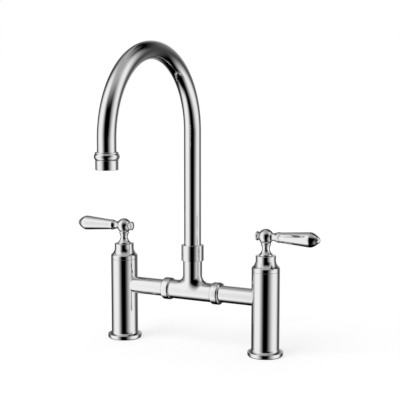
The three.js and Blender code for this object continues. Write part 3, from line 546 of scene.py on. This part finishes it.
# %% [markdown]
# ## The bridge
# A pipe runs from each pillar towards the middle and ends in a union nut, which screws on to the
# tee. Where the pipe meets the pillar its end is a saddle: each point of its rim slides along
# the pipe until it touches the pillar's round side. A Boolean cut could do that, but the saddle
# is one line of algebra, and it keeps the grid and the fine flare of its rim clean.

# %% Bend the pipes' ends to the pillars
PIPE_END = PILLAR_X - PILLAR_RADIUS
PIPE_START, PIPE_SHOULDER = 35.1, 37
SADDLE_START, SADDLE_END = 60, PIPE_END - 2
pipe = turned(np.vstack([
    [(BRIDGE_BORE, PIPE_START, 0), (TEE_RADIUS, PIPE_START, 0.2), (TEE_RADIUS, PIPE_SHOULDER, 0.2)],
    [(BRIDGE_RADIUS, PIPE_SHOULDER, 0), (BRIDGE_RADIUS, 70, 0), (BRIDGE_RADIUS, SADDLE_END, 0)],
    bow((BRIDGE_RADIUS, PIPE_END - 0.1), (BRIDGE_RADIUS + 0.1, PIPE_END), -0.04, 4),
    [(BRIDGE_BORE, PIPE_END, 0), (BRIDGE_BORE, SADDLE_END, 0)],
]))
# The pillar's side lies at the root of its radius squared less the sideways distance squared.
# The slide grows from nothing at the saddle's start to its whole at the saddle's end.
sideways = np.abs(pipe[..., 0])
saddle = PILLAR_RADIUS - np.sqrt(PILLAR_RADIUS**2 - sideways**2)
slide = np.clip((pipe[..., 2] - SADDLE_START) / (SADDLE_END - SADDLE_START), 0, 1)
pipe[..., 2] += slide * saddle
# Turned to +X, the pipe's own X becomes Y, which is sideways on the pillar.
pipe = placed(along_x(pipe), z=BRIDGE_HEIGHT)
for side, grid in (("right", pipe), ("left", half_turn(pipe))):
    add_piece(f"{side}_bridge_tube", "base", f"{side}_bridge_pipe", grid, chrome)

# %% Turn the union nuts
UNION_RADIUS = 14.1
UNION_START, UNION_END, UNION_LIP = 29.5, 40.7, 37.3
LIP_BORE = BRIDGE_RADIUS + 0.1
nut = placed(along_x(turned(np.vstack([
    [(THREAD_RADIUS, UNION_START, 0.2)],
    bow((12.9, UNION_START), (UNION_RADIUS, 31.9), 0.317),
    bow((UNION_RADIUS, 38.3), (11.7, UNION_END), 0.68),
    [(LIP_BORE, UNION_END, 0.1), (LIP_BORE, UNION_LIP, 0), (THREAD_RADIUS, UNION_LIP, 0)],
]))), z=BRIDGE_HEIGHT)
for side, grid in (("right", nut), ("left", half_turn(nut))):
    add_piece(f"{side}_union_sleeve", "base", f"{side}_union_nut", grid, chrome)

# %% [markdown]
# ## The tee
# The tee is cast: a level cylinder and an upright one of the same radius, with a hollow fillet
# between them. A Boolean union would leave a crease and ragged faces. Instead the surface is
# drawn by one angle that goes over the crossing from back to front. For each angle a line comes
# down the neck, round the fillet and out along the run. The fillet keeps its radius, so in front
# and behind, where the cylinders lie side by side, it leaves a flat web between them. The web gets
# a grid of its own.

# %% Draw the tee's upper half
TEE_FILLET = 9.6
TEE_END = 33
NECK_TOP, NECK_LOW, NECK_FLOOR = 119, 95, 88
NECK_BORE = 9.4
MOUTH_RADIUS, MOUTH_FLOOR = 8, 25
FILLET_ROWS, RUN_ROWS, WEB_COLUMNS = 25, 12, 9
over = np.linspace(0, np.pi, SIDES // 2 + 1)[None, :]


def level_rows(x, radius, angle):
    """Rows round +X: places x and radii, one for each row."""
    x, radius = np.broadcast_arrays(x, radius)
    return np.stack([
        x + 0 * angle, radius * np.cos(angle), BRIDGE_HEIGHT + radius * np.sin(angle),
    ], axis=-1)


def column(values):
    return np.asarray(values, float)[:, None]


neck_rim = rounded([
    (0, NECK_FLOOR, 0), (NECK_BORE, NECK_FLOOR, 0), (NECK_BORE, NECK_TOP, 0.3),
    (TEE_RADIUS, NECK_TOP, 0.3), (TEE_RADIUS, NECK_LOW, 0),
])
fillet = np.linspace(0, np.pi / 2, FILLET_ROWS)[:, None]
crossing = TEE_RADIUS * np.sin(over)
out_of_fillet = crossing + TEE_FILLET
down = np.linspace(0, 1, 5)[1:-1, None]
neck_radius = np.vstack([neck_rim[:, :1], np.full_like(down, TEE_RADIUS)])
neck_height = np.vstack([
    neck_rim[:, 1:] + 0 * over,
    (1 - down) * NECK_LOW + down * (BRIDGE_HEIGHT + out_of_fillet),
])
neck = np.stack([neck_radius * np.sin(over), neck_radius * np.cos(over), neck_height], axis=-1)
blend = np.stack([
    out_of_fillet - TEE_FILLET * np.cos(fillet),
    TEE_RADIUS * np.cos(over) + 0 * fillet,
    BRIDGE_HEIGHT + out_of_fillet - TEE_FILLET * np.sin(fillet),
], axis=-1)
outwards = np.linspace(0, 1, RUN_ROWS)[:, None]
mouth_x = column([TEE_END, MOUTH_FLOOR, MOUTH_FLOOR])
mouth_radius = column([MOUTH_RADIUS, MOUTH_RADIUS, 0])
upper = np.concatenate([
    neck,
    blend,
    level_rows((1 - outwards[1:]) * out_of_fillet + outwards[1:] * TEE_END, TEE_RADIUS, over),
    level_rows(mouth_x, mouth_radius, over),
])
print("the tee's upper half has", upper.shape[0], "rows of", upper.shape[1], "points")

# %% Draw the tee's underside and its webs, and join the grids
outer_x = (1 - outwards) * TEE_FILLET + outwards * TEE_END
across_web = np.linspace(-1, 1, WEB_COLUMNS)[None, :]
line_x = np.vstack([-outer_x[::-1], TEE_FILLET * across_web[:, 1:-1].T, outer_x])
lower = np.concatenate([
    level_rows(-mouth_x[::-1], mouth_radius[::-1], over + np.pi),
    level_rows(line_x, TEE_RADIUS, over + np.pi),
    level_rows(mouth_x, mouth_radius, over + np.pi),
])
web = np.stack([
    TEE_FILLET * (1 - np.cos(fillet)) * across_web,
    TEE_RADIUS + 0 * fillet * across_web,
    BRIDGE_HEIGHT + TEE_FILLET * (1 - np.sin(fillet)) + 0 * across_web,
], axis=-1)
grids = (upper, upper * np.array([-1, 1, 1]), lower, web, web * np.array([1, -1, 1]))
starts = np.cumsum([0] + [grid.shape[0] * grid.shape[1] for grid in grids])
add_mesh(
    "cast_tee", "base", "center_tee",
    np.vstack([grid.reshape(-1, 3) for grid in grids]),
    np.vstack([grid_faces(*g.shape[:2], False, False) + start for g, start in zip(grids, starts)]),
    chrome,
)

# %% [markdown]
# ## The spout
# A tall nut holds the spout down on the tee's neck. The gooseneck itself is a tube bent round a
# former: straight up, half a circle, and a short way down. A curve with a bevel would be the
# quick way, but a grid along the same path gives the wall its thickness and ends as well. A
# beaded collar closes the tube's end and holds the aerator's housing.

# %% Turn the collar nut
COLLAR_RADIUS = 14.15
COLLAR_FOOT, COLLAR_TOP, COLLAR_LIP = 110.6, 131.1, 125.2
add_piece("spout_nut", "base", "spout_collar_nut", turned([
    (THREAD_RADIUS, COLLAR_FOOT, 0.1), (12.75, COLLAR_FOOT, 0.1),
    (COLLAR_RADIUS, COLLAR_FOOT + 0.6, 0.35), (COLLAR_RADIUS, COLLAR_TOP, 0.5),
    (NUT_BORE, COLLAR_TOP, 0.1), (NUT_BORE, COLLAR_LIP, 0), (THREAD_RADIUS, COLLAR_LIP, 0),
]), chrome)

# %% Bend the gooseneck
TUBE_BOTTOM = 122.1
TUBE_END = 254.6
RISE_ROWS, BEND_ROWS, DROP_ROWS = 40, 200, 8
rise, half_circle, drop = ARCH_HEIGHT - TUBE_BOTTOM, np.pi * ARCH_RADIUS, ARCH_HEIGHT - TUBE_END
way = np.concatenate([
    np.linspace(0, rise, RISE_ROWS)[:-1],
    rise + np.linspace(0, half_circle, BEND_ROWS),
    rise + half_circle + np.linspace(0, drop, DROP_ROWS)[1:],
])[:, None]
turn = np.clip((way - rise) / ARCH_RADIUS, 0, np.pi)
straight = np.maximum(rise - way, 0) + np.maximum(way - rise - half_circle, 0)


def tube_wall(radius):
    """Points round the path: a circle across it, spanned by the sideways axis and the axis that
    points out of the bend."""
    across, out = radius * np.cos(around), radius * np.sin(around)
    return np.stack([
        across + 0 * way,
        ARCH_RADIUS * (np.cos(turn) - 1) + out * np.cos(turn),
        ARCH_HEIGHT + (ARCH_RADIUS + out) * np.sin(turn) - straight,
    ], axis=-1)


add_piece(
    "bent_gooseneck", "spout", "gooseneck_tube",
    np.concatenate([tube_wall(TUBE_RADIUS), tube_wall(TUBE_BORE)[::-1]]), chrome,
)
print("centre line of the gooseneck:", round(float(way[-1, 0])), "mm")

# %% Turn the spout's end
BEAD_FOOT, BEAD_LEDGE, BEAD_TOP = 252.6, 254.3, 261.2
RING_RADIUS = 12.9
add_piece("spout_bead", "spout", "spout_end_collar", placed(turned(np.vstack([
    [(TUBE_BORE, BEAD_FOOT, 0.1), (12.5, BEAD_FOOT, 0.1)],
    bow((12.75, BEAD_FOOT + 0.2), (12.85, 259.7), 1.4, 20),
    [(RING_RADIUS, 259.9, 0.1), (RING_RADIUS, BEAD_TOP, 0.6), (NUT_BORE, BEAD_TOP, 0.1)],
    [(NUT_BORE, BEAD_LEDGE, 0), (TUBE_BORE, BEAD_LEDGE, 0)],
])), y=OUTLET_Y), chrome)

SHELL_RADIUS, SHELL_BORE, SHELL_TOP, SHELL_CEILING = 12.7, 11, 252.3, 250.5
NIPPLE_RADIUS, NIPPLE_BORE, NIPPLE_TOP = 9.1, 7.4, 257.8
add_piece("aerator_shell", "spout", "aerator_housing", placed(turned([
    (SHELL_BORE, OUTLET_HEIGHT, 0.1), (SHELL_RADIUS, OUTLET_HEIGHT, 1.4),
    (SHELL_RADIUS, SHELL_TOP, 0.25), (NIPPLE_RADIUS, SHELL_TOP, 0),
    (NIPPLE_RADIUS, NIPPLE_TOP, 0.1), (NIPPLE_BORE, NIPPLE_TOP, 0.1),
    (NIPPLE_BORE, SHELL_CEILING, 0), (SHELL_BORE, SHELL_CEILING, 0),
]), y=OUTLET_Y), chrome)

# %% [markdown]
# ## The room
# The camera stands where it stood for the photograph. Its place and lens were worked out from
# the photograph's lines: the two pillars' spacing, the bridge and the arch fix all of it. Its
# three axes point to the right, to the top and back from the picture.

# %% Place the camera
CAMERA_PLACE = np.array([632.435, -1174.81, 346.954])
SENSOR_WIDTH, LENS = 36, 96.10
FARTHEST_SEEN = 100
to_right = np.array([0.88382, 0.46783, 0])
to_back = np.array([0.46454, -0.87760, 0.11833])
to_top = np.cross(to_back, to_right)
camera = bpy.data.objects.new("camera", bpy.data.cameras.new("camera"))
turned_camera = Matrix(np.stack([to_right, to_top, to_back], axis=1)).to_4x4()
camera.matrix_world = Matrix.Translation(CAMERA_PLACE * MM) @ turned_camera
camera.data.sensor_width = SENSOR_WIDTH
camera.data.lens = LENS
camera.data.clip_end = FARTHEST_SEEN
bpy.context.collection.objects.link(camera)
bpy.context.scene.camera = camera
print("camera", [round(v, 3) for v in camera.location], "lens", camera.data.lens)

# %% [markdown]
# The faucet stands on white paper. What the camera sees is brought up to white by a little glow
# that only the camera, mirrors and glass see, while the paper's own grey takes the light and the
# shadows. A brighter lamp would whiten the paper too, but it would also burn out the faucet.

# %% Lay the paper
def seen_or_mirrored(tree):
    """One for rays from the camera, from a mirror or through glass, and nought for the rest."""
    path = tree.nodes.new("ShaderNodeLightPath")
    total = path.outputs["Is Camera Ray"]
    for kind in ("Is Glossy Ray", "Is Transmission Ray"):
        add = tree.nodes.new("ShaderNodeMath")
        add.operation, add.use_clamp = "ADD", True
        tree.links.new(total, add.inputs[0])
        tree.links.new(path.outputs[kind], add.inputs[1])
        total = add.outputs[0]
    return total


PAPER_SIZE = 8
PAPER_GREY, PAPER_GLOW = 0.35, 0.67
paper = bpy.data.materials.new("white_paper")
paper.use_nodes = True
sheet = paper.node_tree.nodes["Principled BSDF"]
sheet.inputs["Base Color"].default_value = (PAPER_GREY, PAPER_GREY, PAPER_GREY, 1)
sheet.inputs["Roughness"].default_value = 0.9
sheet.inputs["Specular IOR Level"].default_value = 0
sheet.inputs["Emission Color"].default_value = (1, 1, 1, 1)
glow = paper.node_tree.nodes.new("ShaderNodeMath")
glow.operation = "MULTIPLY"
glow.inputs[1].default_value = PAPER_GLOW
paper.node_tree.links.new(seen_or_mirrored(paper.node_tree), glow.inputs[0])
paper.node_tree.links.new(glow.outputs[0], sheet.inputs["Emission Strength"])

floor_mesh = bpy.data.meshes.new("floor")
floor_corners = PAPER_SIZE * np.array([(-1, -1, 0), (1, -1, 0), (1, 1, 0), (-1, 1, 0)], float)
floor_mesh.from_pydata(floor_corners, [], [(0, 1, 2, 3)])
floor_mesh.materials.append(paper)
floor = bpy.data.objects.new("floor", floor_mesh)
bpy.context.collection.objects.link(floor)
print("paper of", 2 * PAPER_SIZE, "m on each side")

# %% [markdown]
# Soft light comes from all round, and a wide soft sun from the front left gives the shadows a
# side. The world is white where the camera, a mirror or glass looks at it, and a bit darker as a
# lamp, so that sun and world together light a colour as it is written.

# %% Light it
WORLD_LIGHT = 0.65
SUN_STRENGTH, SUN_WIDTH = 1.45, np.radians(40)
world = bpy.data.worlds.new("studio")
bpy.context.scene.world = world
world.use_nodes = True
sky = world.node_tree.nodes.new("ShaderNodeMapRange")
sky.inputs["To Min"].default_value, sky.inputs["To Max"].default_value = WORLD_LIGHT, 1
world.node_tree.links.new(seen_or_mirrored(world.node_tree), sky.inputs["Value"])
background = world.node_tree.nodes["Background"]
background.inputs["Color"].default_value = (1, 1, 1, 1)
world.node_tree.links.new(sky.outputs["Result"], background.inputs["Strength"])

sun_data = bpy.data.lights.new("soft_sun", "SUN")
sun_data.energy, sun_data.angle = SUN_STRENGTH, SUN_WIDTH
sun = bpy.data.objects.new("soft_sun", sun_data)
way_in = Vector((0.6, 1.3, -1.5))
sun.location = -way_in
sun.rotation_euler = way_in.to_track_quat("-Z", "Y").to_euler()
sun.visible_glossy = False
bpy.context.collection.objects.link(sun)
print("world", WORLD_LIGHT, "and sun", SUN_STRENGTH)

# %% [markdown]
# ## What the chrome mirrors
# Chrome has no colour of its own: it shows the room. The photograph's chrome says what that room
# was: a wide white panel on the left, another on the right, a grey ceiling, darkness below, a
# black gap between the panels where the camera stood, and a dim back wall. Those dark gaps
# draw the black stripe down each pillar and the dark lines along every edge.
#
# Panels of cloth and black cards could be set up one by one. It is simpler to paint them on the
# inside of one large dome that only mirrors see. Each panel is a product of four soft steps, two
# across and two up, in degrees from the way to the camera and from the horizon. The white paper
# would fill the lower half of the chrome with white, where the photograph's chrome is dark, so
# mirrors look past it.

# %% Paint the room on a dome
def fade(angle, middle, half):
    """Nought before the middle less half, one after the middle plus half, and between them
    3t^2 - 2t^3 of the way t."""
    t = np.clip((angle - middle) / (2 * half) + 0.5, 0, 1)
    return t * t * (3 - 2 * t)


def panel(across, up, start, end, bottom, top):
    """A soft-edged panel. Each edge is the middle of its step and half its width."""
    return (
        fade(across, *start) * (1 - fade(across, *end)) * fade(up, *bottom) * (1 - fade(up, *top))
    )


CEILING, LEFT_PANEL, RIGHT_PANEL, WALL_RIGHT, WALL_LEFT = 0.43, 1.00, 0.97, 0.70, 0.45
WALL_UP = ((-21, 20), (31, 19))
NO_END = (300, 1)


def room_light(across, up):
    """How bright the room is that way. The ceiling starts higher on the right, and the right
    panel starts farther out above the horizon. The back wall is two panels that meet behind the
    faucet. Where panels overlap, the darkness that they leave is multiplied, so that the sum
    never passes white."""
    ceiling_edge = 47 + 21 * fade(across, 92, 17)
    right_start = 37 + 15 * fade(up, 0, 12)
    parts = (
        CEILING * fade(up, ceiling_edge, 18),
        LEFT_PANEL * panel(across, up, (-112, 21), (-41, 23), (-59, 13), (64, 17)),
        RIGHT_PANEL * panel(across, up, (right_start, 31), (104, 18), (-52, 20), (54, 18)),
        WALL_RIGHT * panel(across, up, (155, 53), NO_END, *WALL_UP),
        WALL_LEFT * panel(-across, up, (169, 58), NO_END, *WALL_UP),
    )
    return 1 - np.prod([1 - part for part in parts], axis=0)


DOME_RADIUS = 12
WAY_TO_CAMERA = -61.7
DOME_COLUMNS, DOME_ROWS = 180, 91
compass = np.linspace(0, 2 * np.pi, DOME_COLUMNS, endpoint=False)[None, :]
climb = np.linspace(-np.pi / 2, np.pi / 2, DOME_ROWS)[:, None]
dome_points = DOME_RADIUS * np.stack([
    np.cos(climb) * np.cos(compass), np.cos(climb) * np.sin(compass), np.sin(climb) + 0 * compass,
], axis=-1)
dome_mesh = bpy.data.meshes.new("room")
dome_mesh.from_pydata(dome_points.reshape(-1, 3), [], grid_faces(*dome_points.shape[:2], False))
weld(dome_mesh)
spots = np.empty(len(dome_mesh.vertices) * 3)
dome_mesh.vertices.foreach_get("co", spots)
east, north, top = (spots / DOME_RADIUS).reshape(-1, 3).T
from_camera = (np.degrees(np.arctan2(north, east)) - WAY_TO_CAMERA + 180) % 360 - 180
bright = room_light(from_camera, np.degrees(np.arcsin(np.clip(top, -1, 1))))
dome_mesh.attributes.new("bright", "FLOAT", "POINT").data.foreach_set("value", bright)
print("the room's mean brightness:", round(float(bright.mean()), 2))

cloth = bpy.data.materials.new("painted_room")
cloth.use_nodes = True
cloth.cycles.emission_sampling = "NONE"
cloth.node_tree.nodes.clear()
attribute = cloth.node_tree.nodes.new("ShaderNodeAttribute")
attribute.attribute_name = "bright"
emission = cloth.node_tree.nodes.new("ShaderNodeEmission")
output = cloth.node_tree.nodes.new("ShaderNodeOutputMaterial")
cloth.node_tree.links.new(attribute.outputs["Fac"], emission.inputs["Strength"])
cloth.node_tree.links.new(emission.outputs["Emission"], output.inputs["Surface"])
dome_mesh.materials.append(cloth)
dome = bpy.data.objects.new("room", dome_mesh)
bpy.context.collection.objects.link(dome)
dome.visible_camera = dome.visible_diffuse = dome.visible_shadow = False
dome.visible_transmission = dome.visible_volume_scatter = False
floor.visible_glossy = False

bpy.context.scene.view_settings.view_transform = "Standard"
